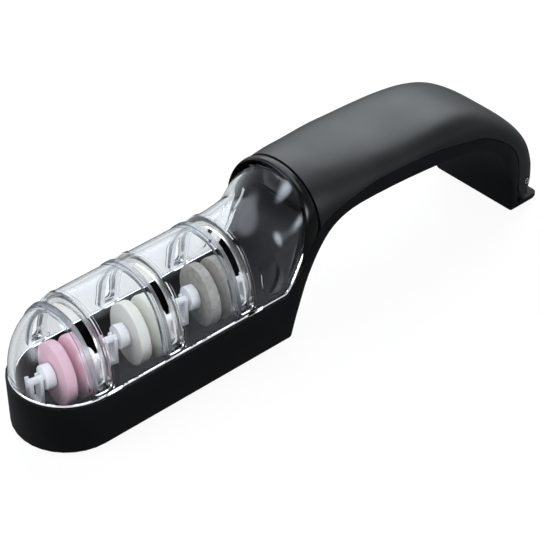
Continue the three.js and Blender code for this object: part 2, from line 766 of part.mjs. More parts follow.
function slotRail(x) {
  const places = [-1, 0, 1].map((share) => x + share * (railHalfWidth + seamGap));
  const outer = loft(places.map((place) => lidRing(place, railProud, 0)));
  const inner = loft(places.map((place) => lidRing(place, -lidWall - railDepth, overrun)));
  return outer.subtract(inner).intersect(slotPrism(x, railHalfWidth, railBottom, railCorner));
}

function thumbDimple(side) {
  const geometry = new THREE.SphereGeometry(1, roundSegments, smallSegments)
    .scale(dimpleHalfLength, dimpleBulge, dimpleHalfHeight)
    .rotateX(side * dimpleTilt)
    .translate(dimpleX, side * (lidRadius + dimpleBulge - dimpleDepth), dimpleZ);
  return solidFrom(geometry);
}

function clearLid() {
  let lid = lidBody(0, 0).subtract(lidBody(-lidWall, overrun));
  for (let stage = 0; stage < stageCount; stage++) {
    lid = lid.add(slotRail(stageX(stage)));
  }
  for (let stage = 0; stage < stageCount; stage++) {
    lid = lid.subtract(slotPrism(stageX(stage), slotWidth / 2, slotBottom, slotCorner));
  }
  for (const side of [-1, 1]) {
    lid = lid.subtract(thumbDimple(side));
    for (const stage of tabStages) {
      const x = stageX(stage) + tabOffset;
      const y = side * (lidRadius + tabProud - lidWall / 2);
      lid = lid.add(box(tabLength, lidWall, tabHeight, x, y, rimHeight + seamGap + tabHeight / 2));
    }
  }
  return lid;
}

// Wheel set, built along its own x axis about the middle of its groove

function turned(profile, segments) {
  const points = profile.map(([r, x]) => new THREE.Vector2(r, x));
  return new THREE.LatheGeometry(points, segments).rotateZ(-Math.PI / 2);
}

function axleProfile() {
  return [
    [0, -stubEnd], [stubRadius, -stubEnd], [stubRadius, -bossEnd],
    [axleBossRadius - bossEdge, -bossEnd], [axleBossRadius, -bossEnd + bossEdge],
    [axleBossRadius, -discOuterFace - hubGap], [coreRadius, -discOuterFace - hubGap],
    [coreRadius, bossEnd - hubGap], [stubRadius, bossEnd - hubGap], [stubRadius, stubEnd],
    [0, stubEnd],
  ];
}

function hubProfile() {
  const bore = coreRadius + hubGap;
  return [
    [bore, discOuterFace + hubGap], [axleBossRadius, discOuterFace + hubGap],
    [axleBossRadius, bossEnd - bossEdge], [axleBossRadius - bossEdge, bossEnd],
    [bore, bossEnd], [bore, discOuterFace + hubGap],
  ];
}

function discProfile(side) {
  const bore = coreRadius + hubGap;
  const lip = discRadius - discEdge / 2;
  const root = lip - (grooveHalfWidth - discInnerFace) / Math.tan(grooveHalfAngle);
  const points = [
    [bore, discInnerFace], [root, discInnerFace], [lip, grooveHalfWidth],
    [discRadius, grooveHalfWidth + discEdge], [discRadius, discOuterFace - discEdge],
    [discRadius - discEdge, discOuterFace], [bore, discOuterFace], [bore, discInnerFace],
  ].map(([r, x]) => [r, side * x]);
  return side > 0 ? points : points.reverse();
}

function cradle(side) {
  const x = (share) => side * THREE.MathUtils.lerp(cradleStart, cradleEnd, share);
  const wall = cradleWall / (cradleEnd - cradleStart);
  const low = -cradleDrop;
  const floor = low + cradleFoot;
  const high = cradleTop;
  const outline = [
    [x(0), low], [x(1), low], [x(1), high], [x(1 - wall), high], [x(1 - wall), floor],
    [x(wall), floor], [x(wall), high], [x(0), high],
  ].map(([px, pz]) => new THREE.Vector2(px, pz));
  let body = sidePrism(shapeFrom(outline), -cradleHalfWidth, cradleHalfWidth);
  const middle = side * (cradleStart + cradleEnd) / 2;
  const reach = cradleEnd - cradleStart + overrun;
  const round = new THREE.CylinderGeometry(notchRadius, notchRadius, reach, smallSegments)
    .rotateZ(Math.PI / 2).translate(middle, 0, 0);
  body = body.subtract(solidFrom(round));
  return body.subtract(box(reach, 2 * notchRadius, 2 * (high + overrun), middle, 0, high + overrun));
}

function wheelStage(stage, grade) {
  const group = new THREE.Group();
  group.position.set(stageX(stage), 0, axleHeight);
  group.rotation.z = wheelYaw;
  group.add(namedMesh(`${grade}_axle`, turned(axleProfile(), roundSegments), finish.white));
  group.add(namedMesh(`${grade}_hub`, turned(hubProfile(), roundSegments), finish.white));
  group.add(namedMesh(`${grade}_front_disc`, turned(discProfile(-1), discSegments), finish[grade]));
  group.add(namedMesh(`${grade}_rear_disc`, turned(discProfile(1), discSegments), finish[grade]));
  group.add(meshFrom(`${grade}_front_cradle`, cradle(-1), finish.white));
  group.add(meshFrom(`${grade}_rear_cradle`, cradle(1), finish.white));
  return group;
}

// Assembly, with its origin on the table under the middle of the whole

const sharpener = new THREE.Group();
sharpener.position.x = -rearX / 2;

sharpener.add(meshFrom('base_frame', baseFrame(), finish.frame));
sharpener.add(meshFrom('heel_pin', heelPin(), finish.steel));
sharpener.add(meshFrom('grip_shell', gripShell(), finish.grip));
sharpener.add(meshFrom('mouth_collar', mouthCollar(), finish.gloss));
sharpener.add(meshFrom('mouth_bulkhead', mouthBulkhead(), finish.gloss));
sharpener.add(meshFrom('clear_lid', clearLid(), finish.clear));

for (const [name, pad] of [['front_pad', frontPad], ['rear_pad', rearPad], ['heel_pad', heelPad]]) {
  sharpener.add(namedMesh(name, padBody(pad, 0, 0, padThickness), finish.rubber));
}

for (const [name, side] of [['lid_screw_near', -1], ['lid_screw_far', 1]]) {
  const screw = meshFrom(name, coverScrew(), finish.steel);
  screw.position.set(mouthX + screwSetback, (side * screwSpacing) / 2, 0);
  sharpener.add(screw);
}

['fine', 'medium', 'coarse'].forEach((grade, stage) => sharpener.add(wheelStage(stage, grade)));

export default sharpener;
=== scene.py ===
import bpy
import math
from mathutils import Matrix, Vector


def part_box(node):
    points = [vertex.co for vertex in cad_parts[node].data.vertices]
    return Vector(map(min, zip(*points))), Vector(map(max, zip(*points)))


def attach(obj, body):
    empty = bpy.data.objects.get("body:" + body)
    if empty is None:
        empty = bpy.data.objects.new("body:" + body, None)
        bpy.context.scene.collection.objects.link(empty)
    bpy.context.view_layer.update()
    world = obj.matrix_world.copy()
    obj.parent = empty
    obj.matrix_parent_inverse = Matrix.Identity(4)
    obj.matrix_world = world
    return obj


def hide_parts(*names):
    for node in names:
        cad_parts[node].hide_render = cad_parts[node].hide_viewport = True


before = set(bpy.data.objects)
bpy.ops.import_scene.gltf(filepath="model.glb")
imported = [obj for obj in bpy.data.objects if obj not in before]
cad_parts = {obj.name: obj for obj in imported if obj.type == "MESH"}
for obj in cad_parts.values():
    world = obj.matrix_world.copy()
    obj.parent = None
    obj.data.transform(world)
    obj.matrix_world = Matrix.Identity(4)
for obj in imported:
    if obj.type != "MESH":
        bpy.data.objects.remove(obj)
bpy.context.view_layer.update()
mm = 0.001
seamGap = 0.002  # mm, points nearer than this are one point
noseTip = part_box("base_frame")[0].x  # the tray's nose, from which every length below is measured
print("frame loaded,", len(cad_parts), "nodes")


# Small helpers

def at(x, y, z):
    # a place given in mm from the nose tip, as a point of the shared frame
    return Vector((noseTip + x * mm, y * mm, z * mm))


def deselectAll():
    if bpy.context.mode != "OBJECT":
        bpy.ops.object.mode_set(mode="OBJECT")
    bpy.ops.object.select_all(action="DESELECT")


def activate(piece):
    deselectAll()
    piece.select_set(True)
    bpy.context.view_layer.objects.active = piece


def settle(piece, name):
    # place, turn and size go into the mesh
    activate(piece)
    piece.name = name
    piece.data.name = name
    bpy.ops.object.transform_apply(location=True, rotation=True, scale=True)
    return piece


def modify(piece, kind, **settings):
    activate(piece)
    modifier = piece.modifiers.new(kind, kind)
    for key, value in settings.items():
        setattr(modifier, key, value)
    bpy.ops.object.modifier_apply(modifier=modifier.name)


def remove(*pieces):
    for piece in pieces:
        bpy.data.objects.remove(piece, do_unlink=True)


def closeSeams(piece, distance=seamGap):
    # points closer together than that many mm are merged
    activate(piece)
    bpy.ops.object.mode_set(mode="EDIT")
    bpy.ops.mesh.select_all(action="SELECT")
    bpy.ops.mesh.remove_doubles(threshold=distance * mm)
    bpy.ops.object.mode_set(mode="OBJECT")


def pickEdges(piece, test):
    # leaves the piece in edit mode with those edges picked whose two ends pass the test
    activate(piece)
    bpy.ops.object.mode_set(mode="EDIT")
    bpy.ops.mesh.select_mode(type="EDGE")
    bpy.ops.mesh.select_all(action="DESELECT")
    bpy.ops.object.mode_set(mode="OBJECT")
    points = piece.data.vertices
    for edge in piece.data.edges:
        edge.select = test(points[edge.vertices[0]].co, points[edge.vertices[1]].co)
    bpy.ops.object.mode_set(mode="EDIT")


def smooth(piece, degrees):
    activate(piece)
    bpy.ops.object.shade_smooth_by_angle(angle=math.radians(degrees))


def soften(piece, width, degrees=35, segments=2):
    # rounds the edges that are sharper than that angle
    modify(piece, "BEVEL", width=width * mm, segments=segments, limit_method="ANGLE",
           angle_limit=math.radians(degrees), miter_outer="MITER_ARC", harden_normals=False)


def cut(piece, cutter, operation="DIFFERENCE"):
    modify(piece, "BOOLEAN", operation=operation, object=cutter, solver="EXACT")
    remove(cutter)


def gridSheet(name, rows, columns, place):
    # a grid whose every point goes where place(u, v) says, both shares from 0 to 1
    deselectAll()
    bpy.ops.mesh.primitive_grid_add(x_subdivisions=rows, y_subdivisions=columns, size=1)
    sheet = bpy.context.object
    for vertex in sheet.data.vertices:
        # the far side comes first, so that the faces look outwards
        vertex.co = place(vertex.co.x + 0.5, 0.5 - vertex.co.y)
    sheet.name = name
    closeSeams(sheet)
    return sheet


def thicken(sheet, wall):
    # the wall grows inwards from the outer face
    modify(sheet, "SOLIDIFY", thickness=wall * mm, offset=-1, use_even_offset=True, use_rim=True)
    closeSeams(sheet)


def squareEnd(piece, x, side):
    # points that the slanting wall carried past the plane at x come back onto it
    edge = at(x, 0, 0).x
    for vertex in piece.data.vertices:
        if (vertex.co.x - edge) * side > 0:
            vertex.co.x = edge


def roundedBar(x, halfWidth, bottom, top, reach, corner):
    # a bar across the body whose two lower edges are rounded
    deselectAll()
    bpy.ops.mesh.primitive_cube_add(size=1, location=at(x, 0, (bottom + top) / 2),
                                    scale=(2 * halfWidth * mm, 2 * reach * mm, (top - bottom) * mm))
    bar = settle(bpy.context.object, "bar")
    low = (bottom + 0.01) * mm
    pickEdges(bar, lambda a, b: a.z < low and b.z < low and abs(a.x - b.x) < 1e-6)
    bpy.ops.mesh.bevel(offset=corner * mm, segments=6, profile=0.5)
    bpy.ops.object.mode_set(mode="OBJECT")
    return bar


def turned(name, outline, steps):
    # an outline of (radius, place along the axle) in mm, spun about the X axis
    deselectAll()
    bpy.ops.mesh.primitive_plane_add(size=mm)
    piece = bpy.context.object
    bpy.ops.object.mode_set(mode="EDIT")
    bpy.ops.mesh.select_mode(type="VERT")
    bpy.ops.mesh.select_all(action="SELECT")
    bpy.ops.mesh.merge(type="CENTER")
    bpy.ops.transform.translate(value=(outline[0][1] * mm, 0, outline[0][0] * mm))
    for here, there in zip(outline, outline[1:]):
        step = ((there[1] - here[1]) * mm, 0, (there[0] - here[0]) * mm)
        bpy.ops.mesh.extrude_region_move(TRANSFORM_OT_translate={"value": step})
    bpy.ops.mesh.select_all(action="SELECT")
    bpy.ops.mesh.spin(steps=steps, angle=2 * math.pi, center=(0, 0, 0), axis=(1, 0, 0))
    bpy.ops.mesh.select_all(action="SELECT")
    bpy.ops.mesh.remove_doubles(threshold=seamGap * mm)
    bpy.ops.mesh.normals_make_consistent(inside=False)
    bpy.ops.object.mode_set(mode="OBJECT")
    piece.name = name
    return piece


def copyOf(piece, name):
    activate(piece)
    bpy.ops.object.duplicate()
    double = bpy.context.object
    double.name = name
    return double


def nodeCopy(name, softness):
    # the CAD node's own shape with its doubles merged, flat faces joined and edges rounded
    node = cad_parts[name]
    piece = bpy.data.objects.new(name + "Copy", node.data.copy())
    bpy.context.scene.collection.objects.link(piece)
    piece.matrix_world = node.matrix_world
    closeSeams(piece, 2 * seamGap)
    bpy.ops.object.mode_set(mode="EDIT")
    bpy.ops.mesh.select_all(action="SELECT")
    bpy.ops.mesh.dissolve_limited(angle_limit=math.radians(0.6))
    bpy.ops.object.mode_set(mode="OBJECT")
    settle(piece, name + "Copy")
    if softness:
        soften(piece, softness)
        closeSeams(piece)  # where two roundings meet, a face can be left without width
    smooth(piece, 30)
    return piece


def splinePoint(points, share):
    # a smooth curve through the points
    place = share * (len(points) - 1)
    index = min(int(place), len(points) - 2)
    t = place - index
    p1, p2 = Vector(points[index]), Vector(points[index + 1])
    p0 = Vector(points[max(index - 1, 0)])
    p3 = Vector(points[min(index + 2, len(points) - 1)])
    a, b = (p2 - p0) / 2, (p3 - p1) / 2
    return (2 * p1 - 2 * p2 + a + b) * t ** 3 + (3 * p2 - 3 * p1 - 2 * a - b) * t ** 2 + a * t + p1


def archPoint(share, foot, crown, halfWidth, power, sink=0.0, leg=0.0, band=0.0):
    # a point of the arch over the body, from the far foot (0) to the near one (1)
    foot, crown = Vector(foot), Vector(crown)
    legShare = 0.12 if leg > 0 else 0.0  # the share of the points that lie on each straight leg
    if share < legShare or share > 1 - legShare:
        side = 1 if share < 0.5 else -1
        part = min(share, 1 - share) / legShare
        climb = 3 * part * band if part < 1 / 3 else band + (leg - band) * (1.5 * part - 0.5)
        p = foot + (crown - foot).normalized() * climb
        return at(p.x, side * halfWidth, p.y)
    start = foot + (crown - foot).normalized() * leg
    base = sink / (1 + sink)
    first = math.asin(base ** (power / 2))
    widest = halfWidth / (1 - base ** power) ** (1 / power)
    turn = (share - legShare) / (1 - 2 * legShare)
    angle = first + (math.pi - 2 * first) * turn
    side = math.cos(angle)
    rise = max(math.sin(angle), 0) ** (2 / power)
    y = math.copysign(widest * abs(side) ** (2 / power), side)
    p = start.lerp(crown, (rise - base) / (1 - base))
    return at(p.x, y, p.y)


# Materials

def linear(hexColour):
    # an sRGB hex value as linear colour
    parts = [int(hexColour[i:i + 2], 16) / 255 for i in (1, 3, 5)]
    return [c / 12.92 if c <= 0.04045 else ((c + 0.055) / 1.055) ** 2.4 for c in parts] + [1.0]


def addNode(tree, kind, settings=None, links=None):
    # settings are properties or input values, links are input name to the output that feeds it
    node = tree.nodes.new(kind)
    for key, value in (settings or {}).items():
        if key in node.inputs and not hasattr(type(node), key):
            node.inputs[key].default_value = value
        else:
            setattr(node, key, value)
    for key, output in (links or {}).items():
        tree.links.new(output, node.inputs[key])
    return node


def newMaterial(name):
    material = bpy.data.materials.new(name)
    material.use_nodes = True
    tree = material.node_tree
    tree.nodes.clear()
    output = addNode(tree, "ShaderNodeOutputMaterial")
    place = addNode(tree, "ShaderNodeTexCoord").outputs["Object"]
    return material, tree, output, place


def finishMaterial(tree, output, shader):
    tree.links.new(shader.outputs["BSDF"], output.inputs["Surface"])


def perMillimetre(grain):
    # a noise scale that gives features of that many mm
    return 1 / (grain * mm)


# sizes of the finishes' patterns in mm: the marks of the tool and of the drawing die are finer on
# the real one, and are drawn coarser here so that they show
pattern = {"handled": 26, "wallWaver": 14, "toolMarks": 0.4, "drawnLines": 0.3}


def mouldedPlastic(name, colour, tint, roughness, grain, depth, ior=1.53, level=0.5):
    # injection-moulded ABS: a spark-eroded grain breaks the sheen, and handling evens it out in
    # patches. The real grain is about 0.1 mm and is drawn coarser so that it shows
    spread = 0.06
    material, tree, output, place = newMaterial(name)
    fine = addNode(tree, "ShaderNodeTexNoise", {"Scale": perMillimetre(grain), "Detail": 3.0},
                   {"Vector": place})
    broad = addNode(tree, "ShaderNodeTexNoise",
                    {"Scale": perMillimetre(pattern["handled"]), "Detail": 2.0}, {"Vector": place})
    hue = addNode(tree, "ShaderNodeMix", {"data_type": "RGBA"}, {"Factor": broad.outputs["Fac"]})
    hue.inputs["A"].default_value = linear(colour)
    hue.inputs["B"].default_value = linear(tint)
    gloss = addNode(tree, "ShaderNodeMapRange",
                    {"From Min": 0.3, "From Max": 0.7, "To Min": roughness - spread,
                     "To Max": roughness + spread}, {"Value": broad.outputs["Fac"]})
    bump = addNode(tree, "ShaderNodeBump", {"Strength": 0.5, "Distance": depth * mm},
                   {"Height": fine.outputs["Fac"]})
    shader = addNode(tree, "ShaderNodeBsdfPrincipled",
                     {"IOR": ior, "Specular IOR Level": level},
                     {"Base Color": hue.outputs["Result"], "Roughness": gloss.outputs["Result"],
                      "Normal": bump.outputs["Normal"]})
    finishMaterial(tree, output, shader)
    return material


def clearPlastic(name):
    # polished clear SAN: water-white, and its moulded walls waver very slightly
    material, tree, output, place = newMaterial(name)
    waver = addNode(tree, "ShaderNodeTexNoise",
                    {"Scale": perMillimetre(pattern["wallWaver"]), "Detail": 1.0},
                    {"Vector": place})
    bump = addNode(tree, "ShaderNodeBump", {"Strength": 0.25, "Distance": 0.05 * mm},
                   {"Height": waver.outputs["Fac"]})
    shader = addNode(tree, "ShaderNodeBsdfPrincipled",
                     {"Base Color": linear("#fcfdfd"), "Roughness": 0.015, "IOR": 1.5,
                      "Specular Tint": linear("#bcbfc6"), "Transmission Weight": 1.0},
                     {"Normal": bump.outputs["Normal"]})
    finishMaterial(tree, output, shader)
    # the wall is greyer where it is seen edge on
    wall = addNode(tree, "ShaderNodeVolumeAbsorption",
                   {"Color": linear("#dee1e6"), "Density": 230.0})
    tree.links.new(wall.outputs["Volume"], output.inputs["Volume"])
    return material


def frostedPlasticAndPaintedGlow(name, transmission, low, high, glow):
    # the same SAN where the mould was left matt. Its glow is painted light: an emission that makes
    # the surface shine white as a highlight, though it is no lamp
    material, tree, output, place = newMaterial(name)
    tooling = addNode(tree, "ShaderNodeTexNoise",
                      {"Scale": perMillimetre(pattern["toolMarks"]), "Detail": 3.0},
                      {"Vector": place})
    gloss = addNode(tree, "ShaderNodeMapRange", {"To Min": low, "To Max": high},
                    {"Value": tooling.outputs["Fac"]})
    shader = addNode(tree, "ShaderNodeBsdfPrincipled",
                     {"Base Color": linear("#f4f6f8"), "IOR": 1.5,
                      "Transmission Weight": transmission,
                      "Emission Color": linear("#f4f6f8"), "Emission Strength": glow},
                     {"Roughness": gloss.outputs["Result"]})
    finishMaterial(tree, output, shader)
    return material


def ceramic(name, colour, speckle, roughness, grit, share):
    # bonded abrasive: matt, with darker and lighter grains and a grainy relief. The real grit is a
    # few hundredths of a mm and is drawn coarser so that it shows
    material, tree, output, place = newMaterial(name)
    grains = addNode(tree, "ShaderNodeTexVoronoi", {"Scale": perMillimetre(grit)},
                     {"Vector": place})
    cloud = addNode(tree, "ShaderNodeTexNoise", {"Scale": perMillimetre(grit * 4), "Detail": 4.0},
                    {"Vector": place})
    few = addNode(tree, "ShaderNodeMapRange", {"From Min": 0.35, "From Max": 0.75, "To Max": share},
                  {"Value": cloud.outputs["Fac"]})
    hue = addNode(tree, "ShaderNodeMix", {"data_type": "RGBA"}, {"Factor": few.outputs["Result"]})
    hue.inputs["A"].default_value = linear(colour)
    hue.inputs["B"].default_value = linear(speckle)
    bump = addNode(tree, "ShaderNodeBump", {"Strength": 0.6, "Distance": 0.12 * mm},
                   {"Height": grains.outputs["Distance"]})
    shader = addNode(tree, "ShaderNodeBsdfPrincipled",
                     {"Roughness": roughness, "IOR": 1.6, "Subsurface Weight": 0.12,
                      "Subsurface Scale": 0.6 * mm},
                     {"Base Color": hue.outputs["Result"], "Normal": bump.outputs["Normal"]})
    finishMaterial(tree, output, shader)
    return material


def springSteel(name):
    # rolled stainless pin and screws: drawn lines run along the wire
    material, tree, output, place = newMaterial(name)
    along = addNode(tree, "ShaderNodeMapping", {"Scale": (1, 0.06, 1)}, {"Vector": place})
    lines = addNode(tree, "ShaderNodeTexNoise",
                    {"Scale": perMillimetre(pattern["drawnLines"]), "Detail": 3.0},
                    {"Vector": along.outputs["Vector"]})
    gloss = addNode(tree, "ShaderNodeMapRange", {"To Min": 0.18, "To Max": 0.34},
                    {"Value": lines.outputs["Fac"]})
    bump = addNode(tree, "ShaderNodeBump", {"Strength": 0.3, "Distance": 0.02 * mm},
                   {"Height": lines.outputs["Fac"]})
    shader = addNode(tree, "ShaderNodeBsdfPrincipled",
                     {"Base Color": linear("#c9cbce"), "Metallic": 1.0},
                     {"Roughness": gloss.outputs["Result"], "Normal": bump.outputs["Normal"]})
    finishMaterial(tree, output, shader)
    return material


# colour, its tint, roughness, grain in mm and its depth in mm
blackSatin = mouldedPlastic("blackSatinAbs", "#141519", "#18191d", 0.42, 0.35, 0.008, level=0.15)
blackGloss = mouldedPlastic("blackPolishedAbs", "#08090a", "#0c0d0e", 0.2, 2.5, 0.01, level=0.3)
gripSoft = mouldedPlastic("softTouchGrip", "#1b1e20", "#212426", 0.4, 0.3, 0.03, level=0.4)
clearSan = clearPlastic("clearSan")
# transmission, lowest and highest roughness, and the strength of the painted glow
# the band along the lid's foot is a painted highlight: near-opaque white frosted plastic with a
# painted glow, for the bright line of light along the foot
paintedHighlightRim = frostedPlasticAndPaintedGlow("paintedHighlightRim", 0.05, 0.2, 0.4, 0.6)
slotSan = frostedPlasticAndPaintedGlow("slotSan", 0.82, 0.15, 0.3, 0.0)
whiteAcetal = mouldedPlastic("whiteAcetal", "#e9e8eb", "#f0f0f2", 0.4, 0.5, 0.01, ior=1.48)
padRubber = mouldedPlastic("padRubber", "#141414", "#1b1b1b", 0.85, 0.4, 0.05)
pinSteel = springSteel("drawnSteel")
# colour, its grains, roughness, grit in mm and the share of the darker grains
fineCeramic = ceramic("finePinkCeramic", "#e8c0ce", "#dba9bb", 0.62, 0.25, 0.5)
mediumCeramic = ceramic("mediumCreamCeramic", "#eeede5", "#dedcd2", 0.62, 0.35, 0.5)
coarseCeramic = ceramic("coarseGreyCeramic", "#b4afa9", "#8b8680", 0.7, 0.45, 0.8)

print("materials made")


def dress(piece, name, material, body, slot, *nodes):
    # the piece's material, the body it rides on, and the nodes that it stands for
    piece.name = name
    piece.data.name = name
    piece.data.materials.clear()
    piece.data.materials.append(material)
    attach(piece, body)
    if nodes:
        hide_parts(*nodes)
    return piece


# Outlines seen from the side, in mm from the nose tip

whole = {"trayLength": 106, "handleSpan": 120.5, "rimHeight": 21.2, "crownHeight": 62.3,
         "halfWidth": 21.2, "heelHalfWidth": 20.6, "mouthX": 121.6, "gap": 0.3,
         "pinX": 232.0, "pinZ": 10.9, "crownReach": 7.2, "knuckleFront": 5.2, "knuckleDepth": 5.6,
         "seamEnd": 3.5}
# points of the seam and of the grip's back, as shares of the handle's length and rise
partingShares = [
    (0, 0), (0.022, 0.06), (0.0435, 0.151), (0.0715, 0.285), (0.1005, 0.419), (0.126, 0.521),
    (0.1775, 0.616), (0.239, 0.665), (0.359, 0.719), (0.449, 0.714), (0.552, 0.694),
    (0.6425, 0.6625), (0.742, 0.596), (0.836, 0.518), (0.938, 0.316), (0.9865, 0.117),
    (0.999, -0.066)]
crownShares = [
    (0.126, 1), (0.184, 0.988), (0.248, 0.966), (0.3735, 0.932), (0.472, 0.905), (0.582, 0.8855),
    (0.6845, 0.859), (0.7875, 0.803), (0.891, 0.667), (0.998, 0.421), (1.07, 0.1655),
    (1.1025, -0.0875)]


def handlePoint(share):
    rise = whole["crownHeight"] - whole["rimHeight"]
    return (whole["trayLength"] + share[0] * whole["handleSpan"],
            whole["rimHeight"] + share[1] * rise)


heelX = whole["trayLength"] + whole["handleSpan"]
partingLine = [handlePoint(p) for p in partingShares]
partingLine += [(heelX, whole["pinZ"]), (heelX, whole["seamEnd"])]
crownLine = [handlePoint(p) for p in crownShares]
crownLine += [(whole["pinX"] + whole["crownReach"], whole["pinZ"])]
seamSteps = 400
partingSamples = [splinePoint(partingLine, i / seamSteps) for i in range(seamSteps + 1)]


def seatAt(x):
    # the height at which the cover stands on the frame
    if x <= whole["trayLength"]:
        return whole["rimHeight"] + whole["gap"]
    for a, b in zip(partingSamples, partingSamples[1:]):
        if b.x >= x:
            slope = (b.y - a.y) / (b.x - a.x)
            return a.y + slope * (x - a.x) + whole["gap"] * math.hypot(1, slope)


# Clear lid

# band is the height of the painted highlight band along the lid's foot
lid = {"wall": 2.0, "inset": 0.9, "crown": 50.8, "band": 0.6,
       "domeLength": 29.8, "domeRound": 2.2, "round": 2.22,
       "neckStart": 93, "tailX": 119.2, "tailHalfWidth": 19.5, "tailCrown": 60.0,
       "mouthRound": 2.05,
       "stages": (21.6, 54.1, 86.6), "slotHalf": 2.5, "slotBottom": 24.6, "slotCorner": 1.6,
       "railHalf": 4.4, "railBottom": 22.6, "railProud": 0.4, "railDepth": 1.6, "railCorner": 3,
       "railSpare": 0.6, "cutTop": 60, "cutReach": 26,  # the cutting bars reach past the lid
       "dimpleX": 99.8, "dimpleZ": 32, "dimpleSize": (7, 2.6, 24), "dimpleDepth": 1.7,
       "dimpleTilt": 11,
       "tabX": (25.6, 90.6), "tabSize": (6.8, 2, 1.6), "tabProud": 0.6, "tabBottom": 21.5,
       "tabEdge": 0.3,
       "lengthSteps": 150, "archSteps": 72, "railSteps": 16, "noseCrowding": 1.9,
       "tipStart": 0.0005}
lidRadius = whole["halfWidth"] - lid["inset"]
noseX = whole["halfWidth"]


def smoothStep(share):
    share = min(max(share, 0), 1)
    return share * share * (3 - 2 * share)


def paintedHighlightBand(x):
    # the height of the white band along the lid's foot, a painted highlight, which keeps its width
    # where the foot climbs
    slope = seatAt(min(x + 0.5, lid["tailX"])) - seatAt(min(x + 0.5, lid["tailX"]) - 1)
    return lid["band"] * math.hypot(1, slope)


def lidPoint(x, share, grow=0.0):
    # a point of the lid's outside, or of a shell that many mm further out
    radius = lidRadius + grow
    ahead = max(0, noseX - x)
    place = min(x, lid["tailX"])
    neck = smoothStep((x - whole["trayLength"]) / (lid["tailX"] - whole["trayLength"]))
    power = lid["round"] + (lid["mouthRound"] - lid["round"]) * neck
    halfWidth = math.sqrt(max(0, radius ** 2 - ahead ** 2))
    halfWidth -= (lidRadius - lid["tailHalfWidth"]) * neck
    climb = max(0, (place - lid["neckStart"]) / (lid["tailX"] - lid["neckStart"]))
    foot = seatAt(place)
    full = lid["crown"] + (lid["tailCrown"] - lid["crown"]) * climb ** 2 + grow - foot
    domeEnd = noseX - lidRadius + lid["domeLength"]
    behind = max(0, (domeEnd - x) / (lid["domeLength"] + grow))
    rise = full * max(0, 1 - behind ** lid["domeRound"]) ** (1 / lid["domeRound"])
    along = max(0, (place - whole["trayLength"]) / (lid["tailX"] - whole["trayLength"]))
    mouthSeat = seatAt(whole["mouthX"])
    band = min(paintedHighlightBand(place), rise * 0.5)
    leg = min(band + 0.1 + max(mouthSeat - foot, 0) * along, rise * 0.9)
    return archPoint(share, (x, foot), (x, foot + rise), halfWidth, power, leg=leg, band=band)


def lidBar(x, half, bottom, corner):
    return roundedBar(x, half, bottom, lid["cutTop"], lid["cutReach"], corner)


def buildLid():
    tip = noseX - lidRadius

    def shellPlace(u, v):
        # rows lie closer together towards the nose, where the dome turns down
        along = (lid["tailX"] - tip) * u ** lid["noseCrowding"]
        return lidPoint(tip + lid["tipStart"] + along, v)

    shell = gridSheet("lidShell", lid["lengthSteps"], lid["archSteps"], shellPlace)
    thicken(shell, lid["wall"])
    squareEnd(shell, lid["tailX"], 1)
    half = lid["railHalf"] + lid["railSpare"]
    for x in lid["stages"]:
        start, end = x - half, x + half

        def railPlace(u, v):
            return lidPoint(start + (end - start) * u, v, lid["railProud"])

        rail = gridSheet("rail", lid["railSteps"], lid["archSteps"], railPlace)
        thicken(rail, lid["railProud"] + lid["wall"] + lid["railDepth"])
        cut(rail, lidBar(x, lid["railHalf"], lid["railBottom"], lid["railCorner"]), "INTERSECT")
        cut(shell, rail, "UNION")
    for x in lid["stages"]:
        cut(shell, lidBar(x, lid["slotHalf"], lid["slotBottom"], lid["slotCorner"]))
    for side in (-1, 1):
        deselectAll()
        centre = lidRadius + lid["dimpleSize"][1] - lid["dimpleDepth"]
        bpy.ops.mesh.primitive_uv_sphere_add(
            segments=64, ring_count=40, radius=mm, scale=lid["dimpleSize"],
            location=at(lid["dimpleX"], side * centre, lid["dimpleZ"]),
            rotation=(side * math.radians(lid["dimpleTilt"]), 0, 0))
        cut(shell, settle(bpy.context.object, "thumb"))
        for x in lid["tabX"]:
            deselectAll()
            length, depth, height = lid["tabSize"]
            bpy.ops.mesh.primitive_cube_add(
                size=1, location=at(x, side * (lidRadius + lid["tabProud"] - depth / 2),
                                    lid["tabBottom"] + height / 2),
                scale=(length * mm, depth * mm, height * mm))
            tab = settle(bpy.context.object, "tab")
            soften(tab, lid["tabEdge"])
            cut(shell, tab, "UNION")
    closeSeams(shell)
    return shell


clearLid = buildLid()
smooth(clearLid, 30)
dress(clearLid, "clearLid", clearSan, "lid", "clear_plastic", "clear_lid")
# index 1 is the painted highlight band along the outside of the foot
clearLid.data.materials.append(paintedHighlightRim)  # index 1, the band along the outside of the foot
clearLid.data.materials.append(slotSan)  # index 2, the slots' side walls
for face in clearLid.data.polygons:
    x = (face.center.x - noseTip) / mm
    place = min(max(x, 0), lid["tailX"])
    outwards = Vector((min(x - noseX, 0), face.center.y / mm)).normalized()
    onOutside = face.normal.xy.dot(outwards) > 0.5
    fromSlotWall = min(abs(abs(x - stage) - lid["slotHalf"]) for stage in lid["stages"])
    # faces low on the outside of the foot get the painted highlight band
    if onOutside and face.center.z / mm - seatAt(place) < paintedHighlightBand(place):
        face.material_index = 1
    elif abs(face.normal.x) > 0.9 and fromSlotWall < 0.1:
        face.material_index = 2
print("lid made,", len(clearLid.data.polygons), "faces")


# Grip, the soft upper half of the handle

grip = {"wall": 2.2, "roundFront": 2.05, "roundHeel": 4.3, "sink": 0.45, "sinkFrom": 0.2,
        "tipFrom": 0.84, "tipTurn": 0.985,  # the tongue's share of the rows, and of a quarter turn
        "notchX": 6, "notchLength": 24, "notchHalf": 7.7, "notchBottom": -6, "notchTop": 14.4,
        "pinHole": 1.55, "lengthSteps": 150, "archSteps": 64}


